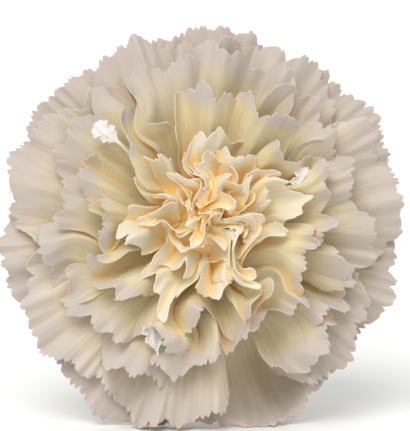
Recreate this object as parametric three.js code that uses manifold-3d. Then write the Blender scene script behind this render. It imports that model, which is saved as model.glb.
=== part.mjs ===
// A single cut carnation, lying on its side.
// Millimetres, +Z up. The flower lies along Y: the bloom faces -Y and a little up,
// and the stem slopes down behind it to the surface. The origin is on the surface,
// under the middle of the whole flower.
// Each piece is modelled in the flower's own frame first: z along the flower's axis
// towards the viewer of the bloom, y towards the bloom's top, and z = 0 at the
// throat, where the petals leave the calyx.
import * as THREE from 'three';
import { mergeVertices } from 'three/addons/utils/BufferGeometryUtils.js';
import Module from 'manifold-3d';

const wasm = await Module();
wasm.setup();

// Lie of the flower
const AXIS_RISE = 12.0;                 // degrees the bloom's axis points above level
const THROAT = [0.1, -61.4, 34.4];      // where the throat lies in the part's frame
const PETAL_REST = -0.3;                // lowest height of the middle of a petal
const LEAF_REST = 0.25;                 // and of a leaf
const FLOOR_SOFTNESS = 0.4;             // how gently a blade bends where it meets the surface

// Petals
const BLOOM_TALL = 1.03;                // height of the bloom over its width
const BLADE = 0.6;                      // thickness of a petal
const CLAW_START = 0.36;                // share of a petal's length where its root is sunk
const OUTER_CLAW_START = 0.03;          // the same where nothing covers the petal's back
const CLAW_WIDE = 1.0;                  // widest angle of a claw as a share of the petal's own
const CLAW_STAND = 12.5;                // how far up the claws stand before they lean out
const LEAST_BEND = 7;                   // smallest radius that a petal bends round
const THROAT_CENTRE = 0.8;              // radius of the innermost petals' roots
const THROAT_SPREAD = 5.7;              // added to that for the outermost petals
const TOOTH_DEPTH = 1.3;                // depth of the notches along a petal's edge
// Petals from the outside in. place: 1 outside to 0 in the middle; cells: cells across
// each row of a petal, from its root to its edge. Each petal: degrees round the bloom
// from the right and anticlockwise, half of its width in degrees, radius and height of
// its edge, degrees that its tip leans out from the axis, height of its folds in mm and
// how many of its own run across it.
const RINGS = [
  {
    place: 1.0,
    cells: [2, 2, 4, 6, 12],
    petals: [
      [88, 31, 37.6, 8.0, 99, 1.2, 1.5],
      [36, 29, 38.8, 8.0, 98, 1.4, 2.0],
      [346, 30, 37.2, 7.5, 99, 1.2, 1.5],
      [292, 30, 37.6, 8.0, 99, 1.4, 2.0],
      [240, 29, 37.8, 7.8, 99, 1.2, 1.5],
      [186, 30, 37.8, 8.0, 98, 1.4, 2.0],
      [138, 30, 38.0, 7.6, 99, 1.4, 1.5],
    ],
  },
  {
    place: 0.9,
    cells: [2, 2, 4, 6, 12],
    petals: [
      [62, 25, 36.6, 12.0, 94, 2.1, 2.0],
      [12, 26, 37.4, 12.5, 93, 2.4, 2.5],
      [321, 24, 35.8, 12.0, 95, 2.3, 2.0],
      [256, 24, 36.6, 12.0, 94, 2.1, 2.5],
      [212, 26, 36.6, 11.5, 95, 2.3, 2.0],
      [160, 26, 37.4, 12.5, 93, 2.1, 2.5],
      [112, 24, 36.6, 12.0, 94, 2.1, 2.0],
    ],
  },
  {
    place: 0.74,
    cells: [2, 2, 3, 5, 8],
    petals: [
      [76, 25, 32.0, 17.5, 84, 2.8, 1.5],
      [103, 23, 30.5, 18.0, 82, 2.8, 1.5],
      [137, 23, 31.5, 15.5, 88, 3.0, 2.0],
      [167, 20, 28.5, 18.0, 80, 3.0, 1.5],
      [193, 20, 31.0, 15.5, 90, 3.0, 1.5],
      [217, 21, 29.0, 17.5, 80, 3.2, 1.5],
      [242, 20, 31.0, 16.0, 86, 3.0, 1.5],
      [259, 20, 28.0, 18.5, 80, 3.2, 2.0],
      [289, 15, 21.5, 23.0, 66, 3.0, 1.0],
      [311, 17, 32.0, 17.5, 82, 3.0, 1.5],
      [330, 20, 29.0, 18.0, 78, 3.2, 2.0],
      [352, 20, 31.5, 16.5, 86, 3.0, 1.5],
      [18, 20, 28.5, 18.0, 78, 3.2, 1.5],
      [46, 22, 30.0, 17.5, 80, 3.0, 1.5],
    ],
  },
  {
    place: 0.55,
    cells: [1, 2, 3, 4, 6],
    petals: [
      [92, 22, 23.0, 24.0, 62, 3.4, 1.5],
      [132, 22, 21.5, 23.0, 60, 3.4, 1.0],
      [158, 22, 25.0, 20.5, 70, 3.4, 1.5],
      [184, 20, 21.5, 23.0, 60, 3.2, 1.5],
      [212, 22, 22.5, 22.0, 64, 3.4, 1.0],
      [243, 22, 24.5, 20.5, 74, 3.2, 1.5],
      [275, 24, 21.5, 23.0, 66, 3.6, 1.5],
      [305, 22, 22.5, 22.5, 62, 3.4, 1.5],
      [335, 22, 21.0, 23.5, 60, 3.2, 1.0],
      [5, 22, 23.0, 22.0, 66, 3.4, 1.5],
      [32, 20, 20.5, 23.5, 58, 3.2, 1.0],
      [60, 22, 22.5, 23.5, 60, 3.4, 1.5],
    ],
  },
];
// The crowded heart, ring by ring: how many petals and degrees of the first, half of
// their width in mm, then radius, height, lean and folds as above
const HEART_RINGS = [
  { place: 0.42, count: 8, first: 10, wide: 6.6, reach: 15.0, rise: 24.5, lean: 60, fold: 2.4 },
  { place: 0.34, count: 7, first: 30, wide: 6.0, reach: 11.5, rise: 26.0, lean: 54, fold: 2.2 },
  { place: 0.26, count: 6, first: 0, wide: 5.2, reach: 8.3, rise: 27.2, lean: 48, fold: 2.0 },
];
const HEART_CELLS = [1, 1, 2, 3, 4];
const HEART_OFF = [1.7, 2.2];           // how far the heart lies off the axis
// Folds that run round the bloom: how many, where they start, how they turn inwards
const WAVES = [
  { count: 4, phase: 2.0, twist: 1.9 },
  { count: 6, phase: 0.3, twist: 3.0 },
  { count: 9, phase: 1.1, twist: -3.8 },
  { count: 14, phase: 2.4, twist: 4.1 },
];
// Curls that roll petals over: x, y, radius in mm and turn in degrees
const CURLS = [
  [9, -10, 7, 95], [-13, 19, 7, -60], [-4, -19, 7.5, 70], [15, -21, 8, -60],
  [18, 10, 7, 60], [-22, -6, 7.5, -60],
];
const HEART_CURLS = 10;                 // smaller curls that crumple the heart
const HEART_RADIUS = 10.5;
// Hollows that press the outer petals back: x, y, radius and depth in mm
const HOLLOWS = [[10.5, -26.5, 9.5, 11]];
const HOLLOW_TO = [9, 17];              // heights up to which a hollow is full, and felt
const CURL_FROM = [6, 24];              // heights where the curls start and are full
const HEART_FROM = [10, 26];            // the same for the heart's lean off the axis
const GOLDEN_ANGLE = 2.39996;
// Fitting width of a fold in mm: in the middle of the bloom, and added to it outside
const FOLD_WIDE = [7, 9];
const FOLD_SPREAD = 0.42;               // how far a fold's width may be off, as a logarithm

// Core that the petals' claws grow from
const CORE_TOP = 23;
const CORE_RADIUS = 16.5;
const CORE_LOW = -24;

// Petaloid stamens: the middle of each one's blade
const PETALOIDS = [
  [-18.4, 17.9, 21],
  [19.4, 8.6, 21],
  [-9.1, -20.4, 20],
];
const PETALOID_LONG = 8.5;
const PETALOID_WIDE = 2.1;

// Calyx
const CALYX_LONG = 28;
const CALYX_WALL = 0.9;
const CALYX_BASE = 4.8;                 // outer radii
const CALYX_MIDDLE = 7.3;
const CALYX_MOUTH = 8.6;
const CALYX_TEETH = 5;
const CALYX_TOOTH = 2.6;
const CALYX_FLARE = 0.3;                // how far the teeth lean out, per mm of height
const CLEAR = 0.3;                      // gap between neighbouring pieces

// Stem and its leaves
const STEM_LONG = 130;
const STEM_RADIUS = 2.1;
const STEM_NODES = [45, 105];           // mm below the calyx
const NODE_SWELL = 0.9;
const STEM_BOW = 2.0;                   // how far the stem bows up in its middle
const STEM_SIDE = 1.0;                  // and to the side
const STEM_END_LIFT = -0.1;             // rise of its cut end
const CUT_SLANT = 40;                   // degrees of the cut end
const LEAF_THICK = 0.9;
const SHEATH_LONG = 5;
const STEM_SIDES = 12;
const SHEATH_SIDES = 16;
const LEAF_PAIRS = [
  { name: 'leaf_pair_upper', below: 45, turn: 75, sizes: [42, 36], wide: 2.6, arch: [30, 38], sag: 3 },
  { name: 'leaf_pair_lower', below: 105, turn: -6, sizes: [62, 58], wide: 3.0, arch: [40, 42], sag: 19 },
];

const { degToRad, radToDeg, smoothstep, clamp, lerp } = THREE.MathUtils;
const flower = new THREE.Group();
flower.rotation.x = degToRad(90 - AXIS_RISE);
flower.position.set(...THROAT);
flower.updateMatrixWorld(true);

// A number from 0 to 1 that the keys decide, the same on every run.
function chance(...keys) {
  let sum = 0;
  keys.forEach((key, place) => {
    sum += Math.sin(key * (12.9898 + 7.31 * place) + 4.137 * (place + 1)) * 43758.5453;
  });
  return sum - Math.floor(sum);
}

// Lowers a point of a blade's middle surface by its sag, and lays it on the surface
// below the flower instead of under it.
function settle(point, rest = PETAL_REST, sag = 0) {
  flower.localToWorld(point);
  const above = point.z - sag - rest;
  point.z = rest + (above + Math.hypot(above, FLOOR_SOFTNESS)) / 2;
  return flower.worldToLocal(point);
}

// Solids

function solidOf(positions, triangles) {
  return new wasm.Manifold(new wasm.Mesh({
    numProp: 3,
    vertProperties: new Float32Array(positions),
    triVerts: new Uint32Array(triangles),
  }));
}

// A closed three.js geometry as a solid: equal corners become one.
function solidOfGeometry(geometry) {
  geometry.deleteAttribute('normal');
  geometry.deleteAttribute('uv');
  const merged = mergeVertices(geometry, 1e-4);
  return solidOf(merged.attributes.position.array, merged.index.array);
}

// The largest shell of a joined solid, without loose scraps and sealed hollows.
function oneBody(solid) {
  const shells = solid.decompose();
  return shells.reduce((best, shell) => (shell.volume() > best.volume() ? shell : best));
}

// A solid turned round the flower's axis from a profile of [radius, height] corners,
// which starts and ends on the axis.
function turned(profile, sides) {
  return solidOfGeometry(turnedGeometry(profile, sides));
}

function turnedGeometry(profile, sides) {
  const outline = profile.map(([radius, height]) => new THREE.Vector2(radius, height));
  return new THREE.LatheGeometry(outline, sides).rotateX(Math.PI / 2);
}

function geometryOf(solid) {
  const mesh = solid.getMesh();
  const geometry = new THREE.BufferGeometry();
  geometry.setAttribute('position', new THREE.BufferAttribute(mesh.vertProperties, 3));
  geometry.setIndex(new THREE.BufferAttribute(mesh.triVerts, 1));
  return geometry;
}

// Everything below the surface that the flower lies on.
function ground() {
  const size = 600;
  const box = new THREE.BoxGeometry(size, size, size).translate(0, 0, -size / 2);
  return solidOfGeometry(box.applyMatrix4(flower.matrixWorld.clone().invert()));
}

// Triangles between two rows of corners that both run from across = -1 to 1.
function stitch(near, far, triangles) {
  let a = 0;
  let b = 0;
  while (a < near.length - 1 || b < far.length - 1) {
    const nearNext = a < near.length - 1 ? near[a + 1].across : Infinity;
    const farNext = b < far.length - 1 ? far[b + 1].across : Infinity;
    if (farNext <= nearNext) {
      triangles.push(near[a].index, far[b + 1].index, far[b].index);
      b += 1;
    } else {
      triangles.push(near[a].index, near[a + 1].index, far[b].index);
      a += 1;
    }
  }
}

// A blade of even thickness over a middle surface. cells: how many cells each row
// has across; surface(across, row, column): the point of the middle surface. Both
// faces are split into triangles alike.
function blade(cells, thickness, surface) {
  const points = [];
  const rows = cells.map((count, row) => {
    const corners = [];
    for (let column = 0; column <= count; column += 1) {
      const across = (2 * column) / count - 1;
      corners.push({ across, index: points.length });
      points.push(surface(across, row, column));
    }
    return corners;
  });
  const middle = [];
  for (let row = 0; row < rows.length - 1; row += 1) stitch(rows[row], rows[row + 1], middle);
  const sheet = new THREE.BufferGeometry().setFromPoints(points);
  sheet.setIndex(middle);
  sheet.computeVertexNormals();
  const normal = new THREE.Vector3();
  const positions = [];
  [thickness / 2, -thickness / 2].forEach((offset) => {
    points.forEach((point, index) => {
      normal.fromBufferAttribute(sheet.attributes.normal, index);
      positions.push(...point.clone().addScaledVector(normal, offset));
    });
  });
  return solidOf(positions, wallsOf(middle, points.length));
}

// Front, back and rim of a blade whose back corners follow its front ones.
function wallsOf(middle, count) {
  const triangles = [...middle];
  const edges = new Set();
  for (let at = 0; at < middle.length; at += 3) {
    const [a, b, c] = middle.slice(at, at + 3);
    triangles.push(a + count, c + count, b + count);
    [[a, b], [b, c], [c, a]].forEach(([from, to]) => edges.add(from * count + to));
  }
  edges.forEach((edge) => {
    const from = Math.floor(edge / count);
    const to = edge % count;
    if (edges.has(to * count + from)) return;
    triangles.push(to, from, from + count);
    triangles.push(to, from + count, to + count);
  });
  return triangles;
}

// Petals

// A wave from -1 to 1 with sharper ridges than a sine.
function crease(phase) {
  return Math.asin(0.95 * Math.sin(phase)) / 1.25;
}

// Where a petal's middle runs at a share of its length, as a curve from the throat to
// the tip: radius, height, angle to the flower's axis, and mm per unit at the tip.
function spineAt(petal, place, along) {
  const root = THROAT_CENTRE + THROAT_SPREAD * place;
  const lean = degToRad(petal.lean);
  const span = Math.hypot(petal.reach - root, petal.rise);
  const hold = (petal.lean > 60 ? 0.46 : 0.36) * span;
  const curve = new THREE.CubicBezierCurve(
    new THREE.Vector2(root, 0),
    new THREE.Vector2(root, CLAW_STAND),
    new THREE.Vector2(petal.reach - hold * Math.sin(lean), petal.rise - hold * Math.cos(lean)),
    new THREE.Vector2(petal.reach, petal.rise),
  );
  const point = curve.getPoint(along);
  const ahead = curve.getTangent(along);
  return { radius: point.x, height: point.y, angle: Math.atan2(ahead.x, ahead.y), tip: 3 * hold };
}

// Curls of the heart on a spiral, then those placed by hand.
function allCurls() {
  const curls = [];
  for (let k = 0; k < HEART_CURLS; k += 1) {
    const radius = HEART_RADIUS * Math.sqrt((k + 0.5) / HEART_CURLS);
    const turn = (chance(k, 1) > 0.5 ? 1 : -1) * (25 + 40 * chance(k, 3));
    const wide = 3.6 + 2.4 * chance(k, 2);
    const round = k * GOLDEN_ANGLE;
    curls.push([radius * Math.cos(round), radius * Math.sin(round), wide, turn]);
  }
  return [...curls, ...CURLS];
}

const curls = allCurls();

// Presses a point back in each hollow, rolls it round each curl that it is in, more so
// high in the bloom, and leans the heart off the axis.
function curled(point) {
  HOLLOWS.forEach(([x, y, radius, depth]) => {
    const inside = 1 - ((point.x - x) ** 2 + (point.y - y) ** 2) / radius ** 2;
    if (inside > 0) point.z -= depth * inside * (1 - smoothstep(point.z, ...HOLLOW_TO));
  });
  curls.forEach(([x, y, radius, turn]) => {
    const offX = point.x - x;
    const offY = point.y - y;
    const inside = 1 - (offX ** 2 + offY ** 2) / radius ** 2;
    if (inside <= 0) return;
    const angle = degToRad(turn) * inside ** 2 * smoothstep(point.z, ...CURL_FROM);
    point.x = x + offX * Math.cos(angle) - offY * Math.sin(angle);
    point.y = y + offX * Math.sin(angle) + offY * Math.cos(angle);
  });
  const lean = smoothstep(point.z, ...HEART_FROM);
  point.x += HEART_OFF[0] * lean;
  point.y += HEART_OFF[1] * lean;
  return point;
}

// Height of the folds at an angle round the bloom. Only folds whose width suits the
// petal count much.
function folds(petal, place, angle) {
  const suited = FOLD_WIDE[0] + FOLD_WIDE[1] * place;
  let sum = 0;
  WAVES.forEach((wave) => {
    const width = (2 * Math.PI * petal.reach) / wave.count;
    const weight = Math.exp(-((Math.log(width / suited) / FOLD_SPREAD) ** 2));
    sum += weight * crease(wave.count * angle + wave.phase + wave.twist * place);
  });
  return sum;
}

// A number of each petal's own that its small differences come from.
function seedOf(place, number) {
  return place * 37 + number * 3.7;
}

// A fan-shaped blade on a narrow claw, folded along its length, with a notched edge.
function petalBlade(petal, place, seed, cells) {
  const loose = 1 - place;
  const wide = degToRad(petal.half) * petal.reach;
  const at = degToRad(petal.at);
  const lines = [0, 0.28, 0.55, 0.8, 1];
  const start = place === 1 ? OUTER_CLAW_START : CLAW_START;
  const notch = ((0.55 + 0.45 * smoothstep(place, 0.5, 0.95)) * TOOTH_DEPTH)
    / spineAt(petal, place, 1).tip;
  const aside = degToRad(6 + 48 * smoothstep(loose, 0.3, 0.95)) * (2 * chance(seed, 5) - 1);
  const shift = 0.8 * (chance(seed, 4) - 0.5);
  return blade(cells, BLADE, (across, row, column) => {
    const rim = 1 - 0.05 * across ** 2 - 0.12 * across ** 8
      + (0.018 + 0.03 * loose) * Math.sin(across * 5 + seed * 5);
    const notched = row === lines.length - 1 && column % 2 === 1;
    const along = start + (rim - start) * lines[row] - (notched ? notch : 0);
    const { radius, height, angle } = spineAt(petal, place, along);
    const grown = wide * (0.12 + 0.88 * smoothstep(along, 0, 0.75));
    const bend = Math.max(radius, LEAST_BEND);
    const turn = across * Math.min(grown / bend, CLAW_WIDE * degToRad(petal.half));
    const shared = folds(petal, place, at + (turn * bend) / petal.reach);
    const own = crease(Math.PI * across * petal.folds + seed * 2.3);
    const roll = (0.4 + 1.6 * loose) * Math.sin(across * 4.3 + seed * 6)
      * smoothstep(along, 0.75, 1.02) ** 2;
    const lift = petal.fold * (0.5 * shared + 0.45 * own) * smoothstep(along, 0.25, 1)
      + Math.sin(aside) * across * grown * smoothstep(along, 0.15, 0.7)
      + 1.2 * across * smoothstep(along, 0.1, 0.6) + roll + shift;
    const out = bend - Math.cos(angle) * lift;
    const ahead = radius - bend + out * Math.cos(turn * Math.cos(aside));
    const beside = out * Math.sin(turn * Math.cos(aside));
    const up = height + Math.sin(angle) * lift;
    const point = curled(new THREE.Vector3(
      ahead * Math.cos(at) - beside * Math.sin(at),
      ahead * Math.sin(at) + beside * Math.cos(at), up));
    point.y *= BLOOM_TALL;
    return settle(point);
  });
}

// All blades of the rings of broad petals.
function broadPetals() {
  return RINGS.flatMap(({ place, cells, petals }) => petals.map((row, number) => {
    const [at, half, reach, rise, lean, fold, own] = row;
    const petal = { at, half, reach, rise, lean, fold, folds: own };
    return petalBlade(petal, place, seedOf(place, number), cells);
  }));
}

// All blades of the crowded heart, each a little different.
function heartPetals() {
  return HEART_RINGS.flatMap(({ place, count, first, wide, reach, rise, lean, fold }) => (
    Array.from({ length: count }, (_, number) => {
      const ownReach = reach * (1 + 0.4 * (chance(number, reach) - 0.5));
      const ownWide = wide * (0.75 + 0.5 * chance(number, reach, 4));
      const petal = {
        at: first + (360 * (number + 0.5 * (chance(number, reach, 6) - 0.5))) / count,
        half: radToDeg(ownWide / ownReach),
        reach: ownReach,
        rise: rise + 3 * (chance(number, reach, 2) - 0.5),
        lean: lean + 36 * (chance(number, reach, 3) - 0.5),
        fold,
        folds: 1.5,
      };
      return petalBlade(petal, place, seedOf(place, number), HEART_CELLS);
    })));
}

// The solid that the claws grow from: a slim plug in the calyx under a low dome.
function core() {
  return turned([
    [0, CORE_LOW], [3.2, CORE_LOW], [5.0, -14], [6.2, -4], [6.6, 0], [6.7, 3.5], [7.5, 7],
    [10.2, 10], [CORE_RADIUS - 0.5, 12.5], [CORE_RADIUS, 15.5], [12, 18.5], [7, CORE_TOP - 1],
    [0, CORE_TOP],
  ], 16);
}

// A small white blade with a toothed edge on a thread that comes from the throat.
function petaloid([x, y, z]) {
  const outward = new THREE.Vector3(x, y, 0).normalize();
  const sideways = new THREE.Vector3(-outward.y, outward.x, 0);
  const path = new THREE.CatmullRomCurve3([
    new THREE.Vector3(x * 0.15, y * 0.15, 5),
    new THREE.Vector3(x * 0.45, y * 0.45, z * 0.75),
    new THREE.Vector3(x, y, z).addScaledVector(outward, -PETALOID_LONG / 2),
    new THREE.Vector3(x, y, z).addScaledVector(outward, PETALOID_LONG / 4),
  ]);
  const lines = [0, 0.35, 0.7, 0.85, 1];
  const cells = [1, 1, 1, 2, 6];
  const half = [0.5, 0.45, 0.5, PETALOID_WIDE, PETALOID_WIDE * 0.9];
  return blade(cells, BLADE, (across, row, column) => {
    const notched = row === lines.length - 1 && column % 2 === 1;
    const point = path.getPoint(lines[row] - (notched ? 0.03 : 0));
    return point.addScaledVector(sideways, across * half[row]);
  });
}

function bloom() {
  const blades = [...broadPetals(), ...heartPetals(), ...PETALOIDS.map(petaloid)];
  const whole = blades.reduce((solid, petal) => solid.add(petal), core());
  return oneBody(whole.subtract(ground()));
}

// Calyx and bracts

// Outer radius of the calyx at a height from its mouth.
function calyxOutside(height) {
  const share = clamp(-height / CALYX_LONG, 0, 1);
  if (height > 0) return CALYX_MOUTH + height * CALYX_FLARE;
  if (share < 0.45) return lerp(CALYX_MOUTH, CALYX_MIDDLE, share / 0.45);
  return lerp(CALYX_MIDDLE, CALYX_BASE, ((share - 0.45) / 0.55) ** 1.6);
}

// A cup whose rim is cut into five pointed teeth.
function calyx() {
  const heights = [-CALYX_LONG, -26.5, -23, -18, -12, -6, 0, CALYX_TOOTH];
  const outside = heights.map((height) => [calyxOutside(height), height]);
  outside[0][0] -= 1.4;
  const inside = heights.slice(1).reverse().map((height) => [
    calyxOutside(height) - CALYX_WALL, height]);
  let solid = turned([[0, -CALYX_LONG], ...outside, ...inside, [0, -26.5]], 40);
  const notch = new THREE.Shape();
  const halfPitch = CALYX_MOUTH * Math.tan(Math.PI / CALYX_TEETH);
  notch.moveTo(0, -0.5);
  notch.lineTo(halfPitch * 0.86, CALYX_TOOTH + 0.5);
  notch.lineTo(-halfPitch * 0.86, CALYX_TOOTH + 0.5);
  for (let tooth = 0; tooth < CALYX_TEETH; tooth += 1) {
    const cutter = new THREE.ExtrudeGeometry(notch, { depth: 8, bevelEnabled: false });
    cutter.rotateX(Math.PI / 2).translate(0, 13, 0);
    cutter.rotateZ(((tooth + 0.5) * 2 * Math.PI) / CALYX_TEETH);
    solid = solid.subtract(solidOfGeometry(cutter));
  }
  return solid;
}

// One of the short scales in two pairs that hug the calyx's base.
function bract(number) {
  const outer = number % 2;
  const long = outer ? 8.5 : 11;
  const drop = outer * 0.8;
  const low = -CALYX_LONG - 2 - drop;
  const lines = [0, 0.25, 0.5, 0.72, 0.88, 1];
  const widths = [1.2, 1.25, 1.1, 0.75, 0.32, 0.04];
  const away = CLEAR + BLADE / 2 + outer * (BLADE + CLEAR);
  return blade([4, 6, 6, 4, 2, 1], BLADE, (across, row) => {
    const height = low + long * lines[row];
    const under = clamp((-CALYX_LONG + 1 - drop - height) / 3, 0, 1);
    const radius = lerp(calyxOutside(height), STEM_RADIUS + 0.8, under) + away;
    const round = (number * Math.PI) / 2 + across * widths[row];
    return new THREE.Vector3(radius * Math.cos(round), radius * Math.sin(round), height);
  });
}

// Stem and leaves

// The stem's bow: how far its middle lies off the flower's axis, by depth below the calyx.
function bowed(point) {
  const share = clamp((-CALYX_LONG - point.z) / STEM_LONG, 0, 1.1);
  point.y += STEM_BOW * Math.sin(Math.PI * share) * (share < 1 ? 1 : 0) + STEM_END_LIFT * share ** 2;
  point.x += STEM_SIDE * Math.sin(Math.PI * share * 0.8);
  return point;
}

function stemRadius(depth) {
  let radius = STEM_RADIUS;
  STEM_NODES.forEach((node) => {
    radius += NODE_SWELL * Math.exp(-(((depth - node - 2) / 2.2) ** 2));
  });
  return radius;
}

// A round stem with a swelling at each leaf pair and a slanting cut at its end.
function stem() {
  const depths = [];
  for (let depth = CLEAR; depth < STEM_LONG; depth += 6.5) depths.push(depth);
  STEM_NODES.forEach((node) => depths.push(node - 1, node + 2, node + 4.5));
  depths.push(STEM_LONG);
  depths.sort((a, b) => b - a);
  const side = depths.map((depth) => [stemRadius(depth), -CALYX_LONG - depth]);
  const end = -CALYX_LONG - STEM_LONG;
  const profile = [[0, end], ...side, [0, side[side.length - 1][1]]];
  const whole = solidOfGeometry(bent(turnedGeometry(profile, STEM_SIDES)));
  const size = 20;
  const knife = new THREE.BoxGeometry(size, size, size).translate(0, 0, -size / 2);
  knife.rotateX(degToRad(CUT_SLANT)).translate(0, 0, end + 3);
  return oneBody(whole.subtract(solidOfGeometry(knife)).subtract(ground()));
}

// A geometry turned round the flower's axis, bent along the stem's bow.
function bent(geometry) {
  const { position } = geometry.attributes;
  const point = new THREE.Vector3();
  for (let corner = 0; corner < position.count; corner += 1) {
    point.fromBufferAttribute(position, corner);
    position.setXYZ(corner, ...bowed(point));
  }
  return geometry;
}

// A long narrow leaf, channelled, that clasps the stem and arches away from it.
// outward: degrees round the stem; long and arch in mm and degrees.
function leaf(pair, outward, long, arch) {
  const steps = 9;
  const clasp = STEM_RADIUS + CLEAR + LEAF_THICK / 2 + 0.1;
  const start = -CALYX_LONG - pair.below + SHEATH_LONG - 2.5;
  const spine = [{ out: clasp, up: 0, angle: 0 }];
  for (let step = 1; step <= steps; step += 1) {
    const angle = degToRad(arch) * smoothstep(step / steps, 0, 0.8);
    const last = spine[step - 1];
    spine.push({
      out: last.out + Math.sin(angle) * (long / steps),
      up: last.up + Math.cos(angle) * (long / steps),
      angle,
    });
  }
  const cells = spine.map((place, step) => (step < steps ? 4 : 1));
  const axis = new THREE.Vector3(0, 0, 1);
  return blade(cells, LEAF_THICK, (across, row) => {
    const share = row / steps;
    const { out, up, angle } = spine[row];
    const open = smoothstep(share, 0, 0.25);
    const half = row === steps ? 0.15
      : lerp(clasp * 1.3, pair.wide * Math.sqrt(Math.max(1 - share ** 2.2, 0.02)), open);
    const curl = lerp(1.3, 0.35, open);
    const reach = half / curl;
    const sideways = reach * Math.sin(across * curl);
    const inwards = reach * (1 - Math.cos(across * curl));
    const point = new THREE.Vector3(
      out - inwards * Math.cos(angle), sideways, start + up + inwards * Math.sin(angle));
    point.applyAxisAngle(axis, degToRad(outward));
    bowed(point);
    return settle(point, LEAF_REST, pair.sag * share ** 2);
  });
}

// Two leaves that face each other, joined at their bases in a sheath round the stem.
function leafPair(pair) {
  const inner = STEM_RADIUS + CLEAR;
  const outer = inner + LEAF_THICK;
  const low = -CALYX_LONG - pair.below + 1.5;
  const wall = [[inner, low], [outer, low], [outer, low + SHEATH_LONG], [inner, low + SHEATH_LONG],
    [inner, low]];
  const sheath = solidOfGeometry(bent(turnedGeometry(wall, SHEATH_SIDES)));
  const leaves = pair.sizes.map((long, side) => (
    leaf(pair, pair.turn + 180 * side, long, pair.arch[side])));
  return oneBody(sheath.add(leaves[0]).add(leaves[1]).subtract(ground()));
}

// Assembly

const PETAL_COLOUR = 0xe6d6c0;
const CALYX_COLOUR = 0x8fa06c;
const LEAF_COLOUR = 0x7f9478;

function addPiece(name, solid, colour, roughness) {
  const material = new THREE.MeshStandardMaterial({ color: colour, roughness, metalness: 0 });
  const mesh = new THREE.Mesh(geometryOf(solid), material);
  mesh.name = name;
  flower.add(mesh);
}

addPiece('bloom', bloom(), PETAL_COLOUR, 0.7);
addPiece('calyx', calyx(), CALYX_COLOUR, 0.55);
for (let number = 0; number < 4; number += 1) {
  addPiece(`bract_${number + 1}`, bract(number), CALYX_COLOUR, 0.6);
}
addPiece('stem', stem(), CALYX_COLOUR, 0.5);
LEAF_PAIRS.forEach((pair) => addPiece(pair.name, leafPair(pair), LEAF_COLOUR, 0.6));

const carnation = new THREE.Group();
carnation.add(flower);

export default carnation;
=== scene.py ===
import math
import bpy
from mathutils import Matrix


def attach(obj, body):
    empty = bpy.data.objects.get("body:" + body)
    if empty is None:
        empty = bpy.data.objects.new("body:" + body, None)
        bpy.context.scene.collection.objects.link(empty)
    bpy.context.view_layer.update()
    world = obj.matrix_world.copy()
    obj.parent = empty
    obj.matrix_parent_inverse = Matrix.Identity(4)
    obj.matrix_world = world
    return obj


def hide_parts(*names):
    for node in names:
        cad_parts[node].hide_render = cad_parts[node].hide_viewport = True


bl_info = {
    "name": "Cut carnation",
    "version": (1, 0, 0),
    "blender": (4, 5, 0),
    "location": "3D View > Sidebar > Carnation",
    "description": "Petals, calyx, bracts, stem and leaves of a single cut carnation, and its stage",
    "category": "Add Mesh",
}

from collections import namedtuple

import bmesh
import bpy
import numpy as np
from mathutils import Matrix, Vector

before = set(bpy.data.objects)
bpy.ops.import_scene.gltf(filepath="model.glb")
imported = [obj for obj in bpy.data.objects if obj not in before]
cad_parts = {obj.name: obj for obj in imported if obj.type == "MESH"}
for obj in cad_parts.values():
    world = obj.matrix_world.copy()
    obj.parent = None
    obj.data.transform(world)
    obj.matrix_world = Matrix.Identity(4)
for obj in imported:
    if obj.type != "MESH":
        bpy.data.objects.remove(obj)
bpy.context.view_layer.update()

MM = 0.001

# Lie of the flower, as in the frame. In the flower's own frame z runs along its axis,
# y towards the bloom's top, and z = 0 is the throat, where the petals leave the calyx.
THROAT = (0.1, -61.4, 34.4)
AXIS_RISE = 12.0
BLOOM_TALL = 1.03
FLOOR_SOFTNESS = 0.4

# Petals, in degrees and mm. at: where round the bloom, from the right and
# anticlockwise. half: half of its width as an angle. reach and rise: radius and height
# of its edge. lean: how far its tip leans out from the axis. fold: height of its
# folds, folds: how many of its own run across it.
Petal = namedtuple("Petal", "at half reach rise lean fold folds")
GUARD_PETALS = (
    Petal(88, 31, 37.6, 8.0, 99, 1.2, 1.5),
    Petal(36, 29, 38.8, 8.0, 98, 1.4, 2.0),
    Petal(346, 30, 37.2, 7.5, 99, 1.2, 1.5),
    Petal(292, 30, 37.6, 8.0, 99, 1.4, 2.0),
    Petal(240, 29, 37.8, 7.8, 99, 1.2, 1.5),
    Petal(186, 30, 37.8, 8.0, 98, 1.4, 2.0),
    Petal(138, 30, 38.0, 7.6, 99, 1.4, 1.5),
)
COLLAR_PETALS = (
    Petal(62, 25, 36.6, 12.0, 94, 2.1, 2.0),
    Petal(12, 26, 37.4, 12.5, 93, 2.4, 2.5),
    Petal(321, 24, 35.8, 12.0, 95, 2.3, 2.0),
    Petal(256, 24, 36.6, 12.0, 94, 2.1, 2.5),
    Petal(212, 26, 36.6, 11.5, 95, 2.3, 2.0),
    Petal(160, 26, 37.4, 12.5, 93, 2.1, 2.5),
    Petal(112, 24, 36.6, 12.0, 94, 2.1, 2.0),
)
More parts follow.
